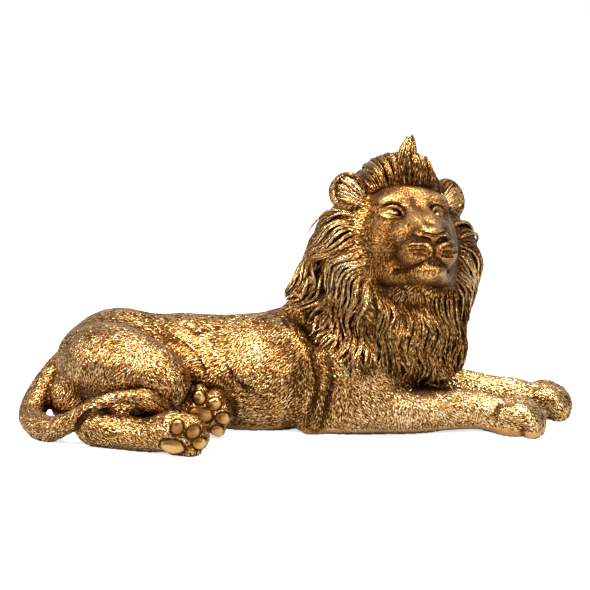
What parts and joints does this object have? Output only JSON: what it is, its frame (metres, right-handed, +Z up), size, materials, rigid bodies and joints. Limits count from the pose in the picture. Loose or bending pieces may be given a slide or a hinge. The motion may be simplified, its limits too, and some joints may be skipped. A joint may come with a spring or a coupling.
{
  "type": "reclining lion sculpture",
  "caption": "Cast lion lying at rest with raised, turned head, full mane, crossed hind paws and curled tail, gold finish, flat underside.",
  "frame": {"origin": "middle of the bounding box at the height of the flat underside", "axes": "+X along the body towards the front paws, +Y towards the lion's left side, +Z up"},
  "size_m": [0.41, 0.1816, 0.218],
  "materials": {
    "gold": "gold paint over cast resin, rubbed with dark brown in the hollows"
  },
  "bodies": {
    "root": {"lion": "gold"}
  },
  "joints": []
}
